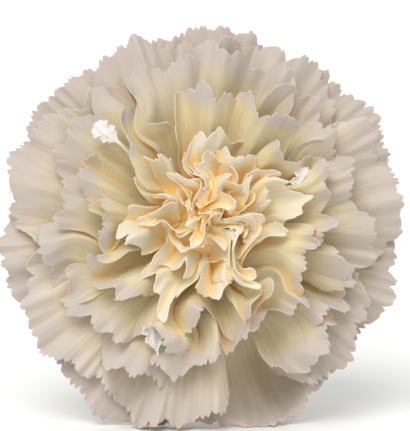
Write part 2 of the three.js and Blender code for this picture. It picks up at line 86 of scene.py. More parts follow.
MIDDLE_PETALS = (
    Petal(76, 25, 32.0, 17.5, 84, 2.8, 1.5),
    Petal(103, 23, 30.5, 18.0, 82, 2.8, 1.5),
    Petal(137, 23, 31.5, 15.5, 88, 3.0, 2.0),
    Petal(167, 20, 28.5, 18.0, 80, 3.0, 1.5),
    Petal(193, 20, 31.0, 15.5, 90, 3.0, 1.5),
    Petal(217, 21, 29.0, 17.5, 80, 3.2, 1.5),
    Petal(242, 20, 31.0, 16.0, 86, 3.0, 1.5),
    Petal(259, 20, 28.0, 18.5, 80, 3.2, 2.0),
    Petal(289, 15, 21.5, 23.0, 66, 3.0, 1.0),
    Petal(311, 17, 32.0, 17.5, 82, 3.0, 1.5),
    Petal(330, 20, 29.0, 18.0, 78, 3.2, 2.0),
    Petal(352, 20, 31.5, 16.5, 86, 3.0, 1.5),
    Petal(18, 20, 28.5, 18.0, 78, 3.2, 1.5),
    Petal(46, 22, 30.0, 17.5, 80, 3.0, 1.5),
)
INNER_PETALS = (
    Petal(92, 22, 23.0, 24.0, 62, 3.4, 1.5),
    Petal(132, 22, 21.5, 23.0, 60, 3.4, 1.0),
    Petal(158, 22, 25.0, 20.5, 70, 3.4, 1.5),
    Petal(184, 20, 21.5, 23.0, 60, 3.2, 1.5),
    Petal(212, 22, 22.5, 22.0, 64, 3.4, 1.0),
    Petal(243, 22, 24.5, 20.5, 74, 3.2, 1.5),
    Petal(275, 24, 21.5, 23.0, 66, 3.6, 1.5),
    Petal(305, 22, 22.5, 22.5, 62, 3.4, 1.5),
    Petal(335, 22, 21.0, 23.5, 60, 3.2, 1.0),
    Petal(5, 22, 23.0, 22.0, 66, 3.4, 1.5),
    Petal(32, 20, 20.5, 23.5, 58, 3.2, 1.0),
    Petal(60, 22, 22.5, 23.5, 60, 3.4, 1.5),
)
# The crowded heart, ring by ring: how many petals, where the first is, and their
# half width in mm, reach, rise, lean and fold
HEART_RINGS = (
    (8, 10, 6.6, 15.0, 24.5, 60, 2.4),
    (7, 30, 6.0, 11.5, 26.0, 54, 2.2),
    (6, 0, 5.2, 8.3, 27.2, 48, 2.0),
    (5, 40, 4.2, 5.2, 28.0, 42, 1.8),
    (3, 20, 3.4, 2.4, 28.2, 34, 1.5),
)
# How far out each ring roots: 0 in the middle of the throat, 1 where the guard petals do.
# The further in a ring is, the looser its petals turn, roll and ruffle.
GUARD_PLACE = 1.0
COLLAR_PLACE = 0.9
MIDDLE_PLACE = 0.74
INNER_PLACE = 0.55
HEART_PLACES = (0.42, 0.34, 0.26, 0.18, 0.1)
# How far the heart's top lies off the axis, to the right and upwards
HEART_OFF = (1.7, 2.2)
# Radius at which the innermost petal would root, and how much further out the outermost does
THROAT_CENTRE = 0.8
THROAT_SPREAD = 5.7
# Height that a claw aims at, straight up, and the tightest radius that a petal bends round
CLAW_STAND = 12.5
LEAST_BEND = 7.0
# Radius, top and fall to the side of the crumpled tissue under the heart's petals
HEART_BED = 9.0
HEART_BED_TOP = 24.2
HEART_BED_FALL = 0.10

# A petal's blade. A petal is cut off at its root, this share up its curve, and its claw is
# this share as wide as its blade.
ROOT_CUT = 0.05
CLAW_SHARE = 0.12
# Widths in mm of the edge's lobes and small teeth, the fine and broad pleats, and ruffles
LOBE_WIDE = 4.2
TOOTH_WIDE = 1.45
PLEAT_WIDE = 2.7
BROAD_PLEAT_WIDE = 5.3
RUFFLE_WIDE = 3.9
# Columns and rows of squares in a petal of each ring, and in the heart's bed. The guard and
# collar petals share the outer columns, and all but the heart's petals share the rows.
OUTER_COLUMNS = 150
MIDDLE_COLUMNS = 130
INNER_COLUMNS = 110
PETAL_ROWS = 26
HEART_COLUMNS = 52
HEART_ROWS = 20
BED_COLUMNS = 120
BED_ROWS = 40

# Folds that run round the bloom through all petals: how many round it, then their phase,
# and how much the phase gains from the middle of the throat outwards, both in radians
WAVES = ((4, 2.0, 1.9), (6, 0.3, 3.0), (9, 1.1, -3.8), (14, 2.4, 4.1), (21, 0.7, -5.0))

# Hollows that press the outer petals back: x, y, radius and depth in mm
HOLLOWS = ((10.5, -26.5, 9.5, 11.0),)

# Heights between which the hollows fade out, the curls set in and the heart moves aside
HOLLOW_FADE = (9, 17)
CURL_GRIP = (6, 24)
HEART_SHIFT = (10, 26)

# Curls that roll petals over: x, y and radius in mm, turn in degrees
CURLS = (
    (9.0, -10.0, 7.0, 95),
    (-13.0, 19.0, 7.0, -60),
    (-4.0, -19.0, 7.5, 70),
    (15.0, -21.0, 8.0, -60),
    (18.0, 10.0, 7.0, 60),
    (-22.0, -6.0, 7.5, -60),
)
# The heart's own curls: how many and how far out they reach, then the least radius of one
# and how much more it may be, and the same for its turn in degrees. They lie on a spiral,
# each a golden turn on from the one before, in radians.
HEART_CURLS = 10
HEART_RADIUS = 10.5
HEART_CURL_SIZE = (3.6, 2.4)
HEART_CURL_TURN = (25, 40)
GOLDEN_TURN = 2.39996

# Petaloid stamens: points that each runs close to, from the throat to its tip, and the
# half width of its blade and of its thread
PETALOIDS = (
    ((-2, 2, 6), (-9, 9, 16), (-14.4, 15.0, 20.4), (-17.0, 17.2, 21.4), (-20.3, 19.4, 20.6)),
    ((2, 1, 6), (9, 1, 17), (15.6, 3.8, 20.6), (18.0, 7.4, 21.6), (19.8, 11.4, 21.2)),
    ((-1, -2, 6), (-5, -15, 15), (-8.0, -24.2, 18.0), (-8.6, -21.2, 20.2), (-9.6, -17.6, 21.2)),
)
PETALOID_WIDE = 1.6
PETALOID_THREAD = 0.28

# Calyx: its length, wall, and radius at the base, near the middle and at the mouth. Its
# teeth are this high and lean out by this share of their height.
CALYX_LONG = 28
CALYX_WALL = 0.7
CALYX_BASE = 4.8
CALYX_MIDDLE = 7.3
CALYX_MOUTH = 8.6
CALYX_TEETH = 5
CALYX_TOOTH = 2.6
CALYX_FLARE = 0.3
CALYX_RIBS = 35
# Shares of the calyx's height and of its grid that its round base takes
CALYX_SHOULDER = 0.07
CALYX_BASE_ROWS = 0.14
# Gap between the green pieces
CLEAR = 0.3
# Bracts: lengths of the inner and the outer pair, how much lower the outer pair starts, and
# their outline: shares of the length, each with a half width as an angle in radians
BRACT_THICK = 0.5
BRACT_LONG = (11, 8.5)
BRACT_DROP = 0.8
BRACT_OUTLINE = ((0, 1.2), (0.25, 1.25), (0.5, 1.1), (0.72, 0.75), (0.88, 0.32), (1, 0.04))

# Stem and its leaves. The nodes are depths under the calyx. The bow is how far the stem's
# middle rises off the flower's axis, and the side how far it lies to the right of it.
STEM_LONG = 130
STEM_RADIUS = 2.1
STEM_ROWS = 240
STEM_NODES = (45, 105)
NODE_SWELL = 0.9
STEM_BOW = 2.0
STEM_SIDE = 1.0
STEM_END_LIFT = -0.1
CUT_SLANT = 40
LEAF_THICK = 0.8
LEAF_STEPS = 200
LEAF_STRIPES = 9
SHEATH_LONG = 5
# below: depth of its node under the calyx. turn: of its first leaf round the stem. sizes:
# lengths of its leaves. wide: half width. arch: how far each turns away. sag: drop of tips.
LeafPair = namedtuple("LeafPair", "name below turn sizes wide arch sag")
LEAF_PAIRS = (
    LeafPair("leaf_pair_upper", 45, 75, (42, 36), 2.6, (30, 38), 3),
    LeafPair("leaf_pair_lower", 105, -6, (62, 58), 3.0, (40, 42), 19),
)

# Stage: height of the bloom's middle on its axis and how far beside and above it the camera
# aims, in mm, then the direction that the soft light comes from and its width in degrees
BLOOM_MIDDLE = 9
AIM_ASIDE = 0.65
AIM_ABOVE = 3.05
LIGHT_FROM = (-0.55, -2.0, 2.1)
LIGHT_WIDE = 40
# Half the floor's side and how far the camera sees, in metres, and bounces between petals
FLOOR_HALF = 10
SIGHT = 30
PETAL_BOUNCES = 10


# Shared shapes

def chance(*keys):
    """A number from 0 to 1 that the keys decide, the same on every run."""
    total = 0.0
    for place, key in enumerate(keys):
        total += math.sin(key * (12.9898 + 7.31 * place) + 4.137 * (place + 1)) * 43758.5453
    return total - math.floor(total)


def smooth(low, high, value):
    """0 below low, 1 above high, and a smooth step between."""
    share = np.clip((value - low) / (high - low), 0, 1)
    return share * share * (3 - 2 * share)


def lerp(low, high, share):
    return low + (high - low) * share


def crease(phase):
    """A wave from about -1 to 1 with sharper ridges than a sine."""
    return np.arcsin(0.95 * np.sin(phase)) / 1.25


def flower_matrix():
    """The flower's frame in the part's frame, both in mm."""
    turn = Matrix.Rotation(math.radians(90 - AXIS_RISE), 4, "X")
    return np.array(Matrix.Translation(THROAT) @ turn)


def settled(points, rest, sag=0.0):
    """Points of the flower's frame in the part's frame in metres, laid on the surface."""
    matrix = flower_matrix()
    placed = points @ matrix[:3, :3].T + matrix[:3, 3]
    above = placed[..., 2] - sag - rest
    placed[..., 2] = rest + (above + np.hypot(above, FLOOR_SOFTNESS)) / 2
    return placed * MM


def grid_sheet(form, columns, rows, surface):
    """Adds a flat grid to a bmesh and moves each corner to surface(across, line).

    across runs from -1 to 1 and line from 0 to 1. Returns the corners and both arrays.
    """
    made = bmesh.ops.create_grid(form, x_segments=columns, y_segments=rows, size=1.0)
    corners = made["verts"]
    flat = np.array([corner.co for corner in corners])
    across = flat[:, 0]
    line = (flat[:, 1] + 1) / 2
    for corner, place in zip(corners, surface(across, line)):
        corner.co = place
    return corners, across, line


def finished_mesh(form, name):
    """Turns a bmesh into a smooth mesh with its faces pointing out."""
    bmesh.ops.recalc_face_normals(form, faces=form.faces)
    for face in form.faces:
        face.smooth = True
    mesh = bpy.data.meshes.new(name)
    form.to_mesh(mesh)
    form.free()
    return mesh


def add_piece(mesh, nodes, material, thickness=0.0):
    """Links a mesh as a piece of the flower that stands for the named nodes."""
    piece = bpy.data.objects.new(mesh.name, mesh)
    bpy.context.scene.collection.objects.link(piece)
    mesh.materials.append(material)
    if thickness:
        wall = piece.modifiers.new("thickness", "SOLIDIFY")
        wall.thickness = thickness
        wall.offset = 0
    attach(piece, "root")
    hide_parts(*nodes)


# Petals

def all_curls():
    """The heart's small curls on a spiral, then those listed."""
    curls = []
    for k in range(HEART_CURLS):
        radius = HEART_RADIUS * math.sqrt((k + 0.5) / HEART_CURLS)
        side = 1 if chance(k, 1) > 0.5 else -1
        x = radius * math.cos(k * GOLDEN_TURN)
        y = radius * math.sin(k * GOLDEN_TURN)
        size = HEART_CURL_SIZE[0] + HEART_CURL_SIZE[1] * chance(k, 2)
        turn = side * (HEART_CURL_TURN[0] + HEART_CURL_TURN[1] * chance(k, 3))
        curls.append((x, y, size, turn))
    return curls + list(CURLS)


def curled(x, y, z):
    """Presses points back in hollows and rolls them round curls, more so high in the bloom."""
    for centre_x, centre_y, radius, depth in HOLLOWS:
        inside = np.clip(1 - ((x - centre_x) ** 2 + (y - centre_y) ** 2) / radius ** 2, 0, 1)
        z = z - depth * inside * (1 - smooth(*HOLLOW_FADE, z))
    grip = smooth(*CURL_GRIP, z)
    for centre_x, centre_y, radius, turn in all_curls():
        off_x = x - centre_x
        off_y = y - centre_y
        inside = np.clip(1 - (off_x ** 2 + off_y ** 2) / radius ** 2, 0, 1)
        angle = math.radians(turn) * inside ** 2 * grip
        x = centre_x + off_x * np.cos(angle) - off_y * np.sin(angle)
        y = centre_y + off_x * np.sin(angle) + off_y * np.cos(angle)
    shift = smooth(*HEART_SHIFT, z)
    return x + HEART_OFF[0] * shift, y + HEART_OFF[1] * shift, z


def petal_spine(petal, place, along):
    """Radius, height and angle to the axis along a petal's middle, and mm per unit at its tip."""
    root = THROAT_CENTRE + THROAT_SPREAD * place
    lean = math.radians(petal.lean)
    span = math.hypot(petal.reach - root, petal.rise)
    hold = 0.46 * span if petal.lean > 60 else 0.36 * span
    corners = np.array([
        (root, 0.0),
        (root, CLAW_STAND),
        (petal.reach - hold * math.sin(lean), petal.rise - hold * math.cos(lean)),
        (petal.reach, petal.rise),
    ])
    t = along[..., None]
    s = 1 - t
    point = (s ** 3 * corners[0] + 3 * s * s * t * corners[1]
             + 3 * s * t * t * corners[2] + t ** 3 * corners[3])
    speed = 3 * (s * s * (corners[1] - corners[0]) + 2 * s * t * (corners[2] - corners[1])
                 + t * t * (corners[3] - corners[2]))
    angle = np.arctan2(speed[..., 0], speed[..., 1])
    return point[..., 0], point[..., 1], angle, 3 * hold


def edge_teeth(across_mm, seed):
    """How far a petal's cut edge stands out, in mm: rounded lobes with small teeth on them."""
    warped = (across_mm + 0.9 * np.sin(across_mm * 0.47 + seed)
              + 0.35 * np.sin(across_mm * 1.3 + seed * 2))
    lobes = np.abs(np.sin(warped * math.pi / LOBE_WIDE + seed * 3)) ** 0.6
    teeth = np.abs(np.sin(warped * math.pi / TOOTH_WIDE + seed * 7)) ** 0.8
    mix = 0.5 + 0.5 * np.sin(across_mm * 0.23 + seed * 4)
    return (0.5 + 1.3 * mix) * (lobes - 0.9) + (0.5 + 0.6 * (1 - mix)) * (teeth - 0.6)


def petal_rim(across, loose, seed):
    """How far along its curve a petal's edge lies, 1 at the middle: rounded, with dents."""
    return (1 - 0.05 * across ** 2 - 0.12 * across ** 8
            + (0.018 + 0.03 * loose) * np.sin(across * 5 + seed * 5)
            + (0.012 + 0.02 * loose) * np.sin(across * 11 + seed * 9))


def shared_folds(petal, place, aside):
    """Folds that run on through all petals. Those as wide as suits the ring count most."""
    suited = 7 + 9 * place
    shared = 0
    for count, phase, twist in WAVES:
        width = 2 * math.pi * petal.reach / count
        weight = math.exp(-((math.log(width / suited) / 0.42) ** 2))
        shared = shared + weight * crease(
            count * (math.radians(petal.at) + aside) + phase + twist * place)
    return shared


def fine_pleats(across_mm, place, seed):
    """Height in mm of the pleats across a petal, deepest in the outer rings."""
    strength = 0.5 + 0.5 * np.sin(across_mm * 0.19 + seed * 3)
    phase = across_mm * 2 * math.pi / PLEAT_WIDE + seed + 1.2 * np.sin(across_mm * 0.5)
    fine = (0.04 + 0.34 * strength ** 2) * smooth(0.45, 1.0, place) * crease(phase)
    return fine + 0.3 * np.sin(across_mm * 2 * math.pi / BROAD_PLEAT_WIDE + seed * 2)


def rolled_edge(across, along, loose, seed):
    """How far in mm a petal's edge rolls over, most in the heart."""
    strength = 0.4 + 1.6 * loose
    return strength * np.sin(across * 4.3 + seed * 6) * smooth(0.75, 1.02, along) ** 2


def ruffled_edge(across_mm, along, loose, seed):
    """Height in mm of the small ruffles along a petal's edge."""
    swerve = across_mm + 0.9 * np.sin(across_mm * 0.41 + seed * 5)
    return ((0.25 + 0.9 * loose) * crease(swerve * 2 * math.pi / RUFFLE_WIDE + seed * 3)
            * smooth(0.80, 1.0, along) ** 1.5)


def petal_points(petal, place, seed, across, line):
    """Points of a petal's middle surface in the flower's frame, and along, 0 at the root."""
    wide = math.radians(petal.half) * petal.reach
    across_mm = across * wide
    loose = 1 - place
    rim = petal_rim(across, loose, seed)
    tip_speed = petal_spine(petal, place, np.array(1.0))[3]
    toothed = 0.8 + 0.2 * smooth(0.5, 0.95, place)
    teeth = toothed * edge_teeth(across_mm, seed) / tip_speed
    along = ROOT_CUT + (rim - ROOT_CUT) * line + teeth * smooth(0.84, 1, line)
    radius, height, angle, _ = petal_spine(petal, place, along)
    grown = wide * (CLAW_SHARE + (1 - CLAW_SHARE) * smooth(0.0, 0.75, along))
    bend = np.maximum(radius, LEAST_BEND)
    turn = across * np.minimum(grown / bend, math.radians(petal.half))
    aside = math.radians(6 + 48 * smooth(0.3, 0.95, loose)) * (2 * chance(seed, 5) - 1)
    shared = shared_folds(petal, place, turn * bend / petal.reach)
    own = crease(math.pi * across * petal.folds + seed * 2.3)
    lift = (petal.fold * (0.5 * shared + (0.5 + 0.5 * loose) * own) * smooth(0.25, 1, along)
            + math.sin(aside) * across * grown * smooth(0.15, 0.7, along)
            + 1.2 * across * smooth(0.1, 0.6, along)
            + fine_pleats(across_mm, place, seed) * smooth(0.6, 1, along) ** 2
            + rolled_edge(across, along, loose, seed)
            + ruffled_edge(across_mm, along, loose, seed)
            + 0.8 * (chance(seed, 4) - 0.5))
    out = bend - np.cos(angle) * lift
    ahead = radius - bend + out * np.cos(turn * math.cos(aside))
    beside = out * np.sin(turn * math.cos(aside))
    up = height + np.sin(angle) * lift
    at = math.radians(petal.at)
    x, y, z = curled(ahead * math.cos(at) - beside * math.sin(at),
                     ahead * math.sin(at) + beside * math.cos(at), up)
    return np.stack([x, y * BLOOM_TALL, z], -1), along


def petal_ring(form, petals, place, columns, rows, thickness):
    """Adds one ring's petals to a bmesh, each a shaped grid, with what the tissue reads:
    along and across the petal, and luck, a number of its own."""
    layers = {
        name: form.verts.layers.float.get(name) or form.verts.layers.float.new(name)
        for name in ("along", "across", "luck")
    }
    for number, petal in enumerate(petals):
        seed = place * 37 + number * 3.7
        wide = math.radians(petal.half) * petal.reach
        kept = {}

        def surface(across, line):
            crowded = 1 - (1 - line) ** 1.5
            points, kept["along"] = petal_points(petal, place, seed, across, crowded)
            return settled(points, thickness / MM / 2)

        corners, across, _ = grid_sheet(form, columns, rows, surface)
        for corner, far, side in zip(corners, kept["along"], across):
            corner[layers["along"]] = far
            corner[layers["across"]] = side * wide
            corner[layers["luck"]] = chance(seed, 8)


def heart_bed(form):
    """The crumpled tissue between the heart's petals, as a low dome."""
    along_layer = form.verts.layers.float.get("along")

    def surface(across, line):
        radius = HEART_BED * line
        turn = across * math.pi
        x = radius * np.cos(turn)
        y = radius * np.sin(turn)
        crumple = (0.9 * crease(0.95 * x + 1.6 * np.sin(0.5 * y + 1))
                   + 0.8 * crease(1.15 * y + 1.4 * np.sin(0.6 * x + 2)))
        z = HEART_BED_TOP - HEART_BED_FALL * radius ** 2 + crumple
        x, y, z = curled(x, y, z)
        return settled(np.stack([x, y * BLOOM_TALL, z], -1), 0)

    corners, _, _ = grid_sheet(form, BED_COLUMNS, BED_ROWS, surface)
    for corner in corners:
        corner[along_layer] = 0.45


def heart_petals():
    """The crowded petals of the heart, ring by ring."""
    rings = []
    for count, first, half_mm, reach, rise, lean, fold in HEART_RINGS:
        ring = []
        for k in range(count):
            own_reach = reach * (1 + 0.4 * (chance(k, reach) - 0.5))
            own_rise = rise + 3 * (chance(k, reach, 2) - 0.5)
            own_lean = lean + 36 * (chance(k, reach, 3) - 0.5)
            half = math.degrees(half_mm * (0.75 + 0.5 * chance(k, reach, 4)) / own_reach)
            at = first + 360 * (k + 0.5 * (chance(k, reach, 6) - 0.5)) / count
            ring.append(Petal(at, half, own_reach, own_rise, own_lean, fold, 1.5))
        rings.append(ring)
    return rings


def petaloid_sheet(form, points, thickness):
    """A small toothed blade at the end of a thread, along a curve through the points."""
    route = np.array(points, float)
    steps = np.linspace(0, 1, len(route))

    def surface(across, line):
        path = np.stack([np.interp(line, steps, route[:, axis]) for axis in range(3)], -1)
        earlier = np.clip(line - 0.06, 0, 1)
        behind = np.stack([np.interp(earlier, steps, route[:, axis]) for axis in range(3)], -1)
        path = 0.5 * path + 0.5 * behind
        tip = route[-1] - route[-2]
        sideways = np.array((-tip[1], tip[0], 0)) / math.hypot(tip[0], tip[1])
        broad = smooth(0.62, 0.86, line)
        half = lerp(PETALOID_THREAD, PETALOID_WIDE, broad)
        ragged = 1 + broad * (0.22 * np.sin(line * 61) + 0.14 * np.sin(line * 113 + 2))
        tooth = 0.5 * np.abs(np.sin(across * 7 + points[0][0])) * smooth(0.9, 1, line)
        place = path + sideways * (across * half * ragged)[:, None]
        place += (tip / np.linalg.norm(tip)) * (tooth - 0.6 * np.abs(across) * broad)[:, None]
        place[:, 2] += broad * 0.45 * np.sin(across * 5 + line * 9)
        return settled(place, thickness / MM / 2)

    grid_sheet(form, 14, 90, surface)


# Greens

def calyx_outside(height):
    """Outer radius of the calyx at a height from its mouth."""
    share = np.clip(-height / CALYX_LONG, 0, 1)
    upper = lerp(CALYX_MOUTH, CALYX_MIDDLE, share / 0.45)
    lower = lerp(CALYX_MIDDLE, CALYX_BASE, np.clip((share - 0.45) / 0.55, 0, 1) ** 1.6)
    tube = np.where(share < 0.45, upper, lower)
    return np.where(height > 0, CALYX_MOUTH + height * CALYX_FLARE, tube)


def calyx_mesh():
    """A ribbed cup with five pointed teeth, closed by a round base."""
    form = bmesh.new()
    green = form.verts.layers.float.new("toward_tip")
    around = form.verts.layers.float.new("around")

    def surface(across, line):
        turn = across * math.pi
        phase = (turn * CALYX_TEETH / (2 * math.pi)) % 1
        tooth = np.abs(2 * phase - 1) ** 0.85
        top = -0.5 + (CALYX_TOOTH + 0.5) * tooth
        climb = np.clip((line - CALYX_BASE_ROWS) / (1 - CALYX_BASE_ROWS), 0, 1)
        height = -CALYX_LONG + (top + CALYX_LONG) * climb
        radius = calyx_outside(height) - CALYX_WALL / 2
        ribbed = smooth(0, 0.2, climb) * (1 - smooth(0.85, 1, climb))
        rib = 0.07 * np.cos(turn * CALYX_RIBS) * ribbed
        rounding = np.clip(line / CALYX_BASE_ROWS, 0, 1)
        shoulder = np.sqrt(np.clip(1 - (1 - climb / CALYX_SHOULDER) ** 2, 0, 1))
        full = np.where(climb < CALYX_SHOULDER, radius - 1.4 * (1 - shoulder), radius) + rib
        radius = np.where(line < CALYX_BASE_ROWS, full * rounding, full)
        up = height + CALYX_WALL / 2
        return settled(np.stack([radius * np.cos(turn), radius * np.sin(turn), up], -1), 0)

    corners, across, line = grid_sheet(form, 280, 60, surface)
    for corner, side, far in zip(corners, across, line):
        corner[green] = far
        corner[around] = side
    bmesh.ops.remove_doubles(form, verts=form.verts, dist=0.004 * MM)
    return finished_mesh(form, "calyx_cup")


def bract_mesh(number):
    """One of the short pointed scales that hug the calyx's base."""
    form = bmesh.new()
    tip = form.verts.layers.float.new("toward_tip")
    outer = number % 2
    long = BRACT_LONG[outer]
    drop = outer * BRACT_DROP
    low = -CALYX_LONG - 2 - drop
    away = CLEAR + 0.3 + outer * (0.6 + CLEAR)
    lines, widths = zip(*BRACT_OUTLINE)

    def surface(across, line):
        height = low + long * line
        under = np.clip((-CALYX_LONG + 1 - drop - height) / 3, 0, 1)
        radius = lerp(calyx_outside(height), STEM_RADIUS + 0.8, under) + away
        radius = radius - 0.12 * np.abs(across) ** 3 + 0.05 * np.cos(across * 16)
        turn = number * math.pi / 2 + across * np.interp(line, lines, widths)
        points = np.stack([radius * np.cos(turn), radius * np.sin(turn), height], -1)
        return settled(points, 0)

    corners, _, line = grid_sheet(form, 40, 36, surface)
    for corner, far in zip(corners, line):
        corner[tip] = far
    return finished_mesh(form, f"bract_scale_{number + 1}")


def bowed(points):
    """Moves points off the flower's axis, as far as the stem bows at their depth."""
    share = np.clip((-CALYX_LONG - points[..., 2]) / STEM_LONG, 0, 1.1)
    rise = STEM_BOW * np.sin(math.pi * share) * (share < 1) + STEM_END_LIFT * share ** 2
    points[..., 1] += rise
    points[..., 0] += STEM_SIDE * np.sin(math.pi * share * 0.8)
    return points


def stem_radius(depth):
    swell = sum(np.exp(-(((depth - node - 2) / 2.2) ** 2)) for node in STEM_NODES)
    return STEM_RADIUS + NODE_SWELL * swell


def stem_mesh():
    """A round stem with a swelling at each leaf pair and a slanting cut at its end."""
    form = bmesh.new()
    bmesh.ops.create_cone(
        form, cap_ends=True, segments=48, radius1=1, radius2=1, depth=2 * (STEM_LONG - CLEAR))
    sides = [edge for edge in form.edges if abs(edge.verts[0].co.z - edge.verts[1].co.z) > 1]
    bmesh.ops.subdivide_edges(form, edges=sides, cuts=STEM_ROWS, use_grid_fill=True)
    half = STEM_LONG - CLEAR
    for corner in form.verts:
        depth = CLEAR + (half - corner.co.z) / 2
        radius = float(stem_radius(depth))
        corner.co = (corner.co.x * radius, corner.co.y * radius, -CALYX_LONG - depth)
    slant = math.radians(CUT_SLANT)
    cut = bmesh.ops.bisect_plane(
        form, geom=form.verts[:] + form.edges[:] + form.faces[:], dist=0.001,
        plane_co=(0, 0, -CALYX_LONG - STEM_LONG + 3),
        plane_no=(0, -math.sin(slant), math.cos(slant)), clear_inner=True)
    rim = [part for part in cut["geom_cut"] if isinstance(part, bmesh.types.BMEdge)]
    bmesh.ops.holes_fill(form, edges=rim)
    pith = form.faces.layers.float.new("pith_face")
    places = settled(bowed(np.array([corner.co for corner in form.verts])), 0)
    for corner, place in zip(form.verts, places):
        corner.co = place
    for face in form.faces:
        face[pith] = 1.0 if len(face.verts) > 4 else 0.0
    mesh = finished_mesh(form, "stem_stalk")
    for polygon in mesh.polygons:
        polygon.use_smooth = polygon.loop_total == 4
    return mesh


def leaf_sheet(form, pair, outward, long, arch):
    """A long narrow channelled leaf that clasps the stem and arches away from it."""
    tip = form.verts.layers.float.get("toward_tip") or form.verts.layers.float.new("toward_tip")
    side = form.verts.layers.float.get("side") or form.verts.layers.float.new("side")
    clasp = STEM_RADIUS + CLEAR + LEAF_THICK / 2 + 0.15
    start = -CALYX_LONG - pair.below + SHEATH_LONG - 2.5
    share = np.linspace(0, 1, LEAF_STEPS + 1)
    angle = math.radians(arch) * smooth(0, 0.8, share)
    out = clasp + np.concatenate([[0], np.cumsum(np.sin(angle[1:]))]) * long / LEAF_STEPS
    up = np.concatenate([[0], np.cumsum(np.cos(angle[1:]))]) * long / LEAF_STEPS

    def surface(across, line):
        opened = smooth(0, 0.25, line)
        broad = pair.wide * np.sqrt(np.clip(1 - line ** 2.2, 0.001, 1))
        half = lerp(clasp * 1.3, broad, opened)
        curl = lerp(1.3, 0.35, opened)
        reach = half / curl
        sideways = reach * np.sin(across * curl)
        midrib = 0.12 * np.exp(-((across / 0.12) ** 2)) * opened
        inwards = reach * (1 - np.cos(across * curl)) + midrib
        bend = np.interp(line, share, angle)
        x = np.interp(line, share, out) - inwards * np.cos(bend)
        z = start + np.interp(line, share, up) + inwards * np.sin(bend)
        turn = math.radians(outward)
        points = np.stack([
            x * math.cos(turn) - sideways * math.sin(turn),
            x * math.sin(turn) + sideways * math.cos(turn), z], -1)
        return settled(bowed(points), LEAF_THICK / 2, pair.sag * line ** 2)

    corners, across, line = grid_sheet(form, 24, 110, surface)
    for corner, far, place in zip(corners, line, across):
        corner[tip] = far
        corner[side] = place


def leaf_pair_mesh(pair):
    """Two leaves that face each other, joined at their bases in a sheath round the stem."""
    form = bmesh.new()
    for number, long in enumerate(pair.sizes):
        leaf_sheet(form, pair, pair.turn + 180 * number, long, pair.arch[number])
    middle = STEM_RADIUS + CLEAR + LEAF_THICK / 2
    low = -CALYX_LONG - pair.below + 1.5

    def sheath(across, line):
        turn = across * math.pi
        radius = middle + 0.1 * np.sin(line * math.pi)
        height = low + SHEATH_LONG * line
        points = np.stack([radius * np.cos(turn), radius * np.sin(turn), height], -1)
        return settled(bowed(points), LEAF_THICK / 2)

    grid_sheet(form, 48, 12, sheath)
    bmesh.ops.remove_doubles(form, verts=form.verts, dist=0.004 * MM)
    return finished_mesh(form, pair.name + "_blades")


# Materials

def linear(colour):
    """An sRGB hex colour as linear red, green, blue and alpha."""
    parts = [int(colour[i:i + 2], 16) / 255 for i in (0, 2, 4)]
    return [c / 12.92 if c <= 0.04045 else ((c + 0.055) / 1.055) ** 2.4 for c in parts] + [1.0]


def opaque(colour):
    """A linear colour with an alpha of 1."""
    return (*colour[:3], 1.0)


def blended(first, second, share):
    """Two linear colours in one, by the second's share."""
    return [(1 - share) * a + share * b for a, b in zip(first, second)]


def new_node(tree, kind, settings=None, links=None, stops=(), out=0):
    """Adds a node and gives one of its outputs.

    settings: values of its inputs or properties. links: sources of its inputs.
    stops: positions and linear colours of a colour ramp. out: name or number of the output.
    """
    made = tree.nodes.new(kind)
    for key, value in (settings or {}).items():
        if isinstance(key, int) or key in made.inputs:
            made.inputs[key].default_value = value
        else:
            setattr(made, key, value)
    for key, source in (links or {}).items():
        tree.links.new(source, made.inputs[key])
    if stops:
        elements = made.color_ramp.elements
        while len(elements) < len(stops):
            elements.new(0.5)
        for element, (position, colour) in zip(elements, stops):
            element.position = position
            element.color = opaque(colour)
    return made.outputs[out]


def new_surface(name, settings):
    """A material with its Principled shader's plain values set."""
    material = bpy.data.materials.new(name)
    material.use_nodes = True
    surface = material.node_tree.nodes["Principled BSDF"]
    for key, value in settings.items():
        surface.inputs[key].default_value = value
    return material, material.node_tree, surface


# A Mix node's inputs and output for colours, and its settings
SHARE, LOW, HIGH = 0, 6, 7
MIXED = 2
MIX = {"data_type": "RGBA"}
MULTIPLY = {"data_type": "RGBA", "blend_type": "MULTIPLY", SHARE: 1.0}
BLACK = (0, 0, 0)
WHITE = (1, 1, 1)

# Sizes in the petals' tissue, in mm: spacing of the veins, size of the paler patches, depth
# of the veins, and how near other petals have to be for the painted crevice shade and glow
VEIN_WIDE = 0.9
VEIN_DEEP = 0.15
PATCH_WIDE = 9.0
PAINTED_CREVICE_NEAR = 3.5


